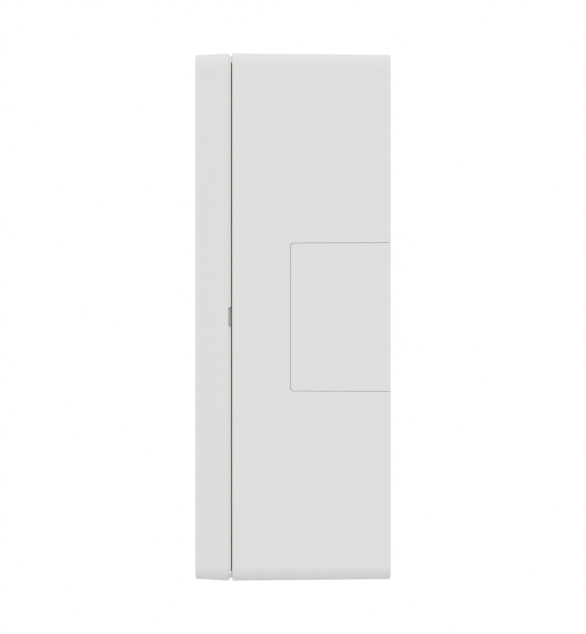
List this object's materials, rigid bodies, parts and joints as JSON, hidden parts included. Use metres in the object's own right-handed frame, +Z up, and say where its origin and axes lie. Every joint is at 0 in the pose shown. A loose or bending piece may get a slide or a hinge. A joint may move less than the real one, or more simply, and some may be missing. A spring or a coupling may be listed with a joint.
{
  "type": "video doorbell",
  "caption": "Surface-mounted video doorbell: white two-part case on the wall, camera window, motion lens, speaker grille, lit call button, side cable-entry covers, electronics inside.",
  "frame": {"origin": "centre of the flat back of the rear housing, in the plane of the wall", "axes": "+X to the right as a visitor faces the doorbell, +Y into the wall, +Z up; the front face looks along -Y"},
  "size_m": [0.082, 0.0545, 0.148],
  "materials": {
    "shell_white": "satin, fine moulded grain",
    "button_white": "satin",
    "icon_grey": "satin",
    "diffuser": "milky, frosted",
    "clear_pipe": "polished",
    "window_black": "polished",
    "cover_glass": "coated",
    "lens_glass": "anti-reflection coated",
    "lens_black": "matt",
    "motion_white": "waxy",
    "black_rubber": "matt",
    "silicone": "matt",
    "spring_steel": "rolled",
    "screw_steel": "zinc plated",
    "frame_grey": "fine grain",
    "cell_blue": "shrink sleeve",
    "nickel": "satin",
    "wire_sleeve": "smooth",
    "board_green": "solder mask",
    "board_black": "solder mask",
    "terminal_green": "moulded",
    "ferrite": "sintered",
    "capacitor_sleeve": "shrink sleeve",
    "relay_blue": "moulded",
    "tinned_steel": "satin",
    "chip_black": "moulded",
    "connector_cream": "moulded",
    "flex_amber": "polyimide film",
    "infrared_led": "clear dark",
    "sensor_cream": "moulded",
    "sensor_can": "nickel plated",
    "speaker_black": "moulded",
    "magnet_steel": "zinc plated",
    "speaker_cone_grey": "pressed film",
    "mesh_black": "woven",
    "gold_plate": "plated",
    "membrane_white": "porous",
    "stem_grey": "moulded",
    "plunger_cream": "moulded",
    "reset_orange": "moulded"
  },
  "bodies": {
    "housing": {"rear_housing": "shell_white", "lens_elements": "lens_glass", "lens_barrel": "lens_black", "camera_holder": "lens_black", "wall_gasket": "black_rubber", "cable_grommet": "black_rubber", "cover_gasket": "black_rubber", "speaker_gasket": "black_rubber", "microphone_boot": "black_rubber", "retaining_clips": "spring_steel", "carrier_screws": "screw_steel", "board_screws": "screw_steel", "terminal_screws": "screw_steel", "carrier_frame": "frame_grey", "battery_cradle": "frame_grey", "battery_cells": "cell_blue", "battery_contacts": "nickel", "battery_leads": "wire_sleeve", "power_leads": "wire_sleeve", "main_board": "board_green", "power_board": "board_green", "image_sensor_board": "board_green", "infrared_board": "board_black", "wireless_module": "board_black", "terminal_block": "terminal_green", "power_transformer": "ferrite", "bulk_capacitors": "capacitor_sleeve", "chime_relay": "relay_blue", "processor_shield": "tinned_steel", "board_chips": "chip_black", "switch_bodies": "chip_black", "tamper_switch_body": "chip_black", "board_connectors": "connector_cream", "camera_flex": "flex_amber", "infrared_leds": "infrared_led", "light_sensor": "sensor_cream", "indicator_leds": "sensor_cream", "motion_sensor": "sensor_can", "speaker_basket": "speaker_black", "speaker_magnet": "magnet_steel", "speaker_cone": "speaker_cone_grey", "microphone": "gold_plate"},
    "cover": {"front_cover": "shell_white", "camera_window": "window_black", "lens_cover_glass": "cover_glass", "motion_lens": "motion_white", "speaker_mesh": "mesh_black", "light_ring": "diffuser", "button_retainer": "frame_grey", "return_pad": "silicone", "microphone_membrane": "membrane_white", "status_light_pipe": "clear_pipe"},
    "call_button": {"button_cap": "button_white", "button_icon": "icon_grey"},
    "switch_stem": {"call_switch_stem": "stem_grey"},
    "tamper_plunger": {"tamper_plunger": "plunger_cream"},
    "reset_button": {"reset_button": "reset_orange"},
    "right_entry_cover": {"entry_cover_right": "shell_white"},
    "left_entry_cover": {"entry_cover_left": "shell_white"}
  },
  "joints": [
    {"name": "cover_release", "type": "slide", "parent": "housing", "child": "cover", "axis": [0, -1, 0], "range_m": [0, 0.04]},
    {"name": "call_press", "type": "slide", "parent": "cover", "child": "call_button", "axis": [0, 1, 0], "range_m": [0, 0.001], "stiffness_N_per_m": 1500, "springref_m": -0.0005, "deforming": ["return_pad"]},
    {"name": "switch_press", "type": "slide", "parent": "housing", "child": "switch_stem", "axis": [0, 1, 0], "range_m": [0, 0.0003]},
    {"name": "tamper_extend", "type": "slide", "parent": "housing", "child": "tamper_plunger", "axis": [0, -1, 0], "range_m": [0, 0.0012]},
    {"name": "reset_press", "type": "slide", "parent": "housing", "child": "reset_button", "axis": [0, 1, 0], "range_m": [0, 0.0003], "stiffness_N_per_m": 5000, "springref_m": -0.0001},
    {"name": "right_entry_release", "type": "slide", "parent": "housing", "child": "right_entry_cover", "axis": [1, 0, 0], "range_m": [0, 0.015]},
    {"name": "left_entry_release", "type": "slide", "parent": "housing", "child": "left_entry_cover", "axis": [-1, 0, 0], "range_m": [0, 0.015]}
  ],
  "couplings": [
    {"joint": "switch_press", "follows": "call_press", "ratio": 0.3},
    {"joint": "tamper_extend", "follows": "cover_release", "ratio": 0.03}
  ]
}
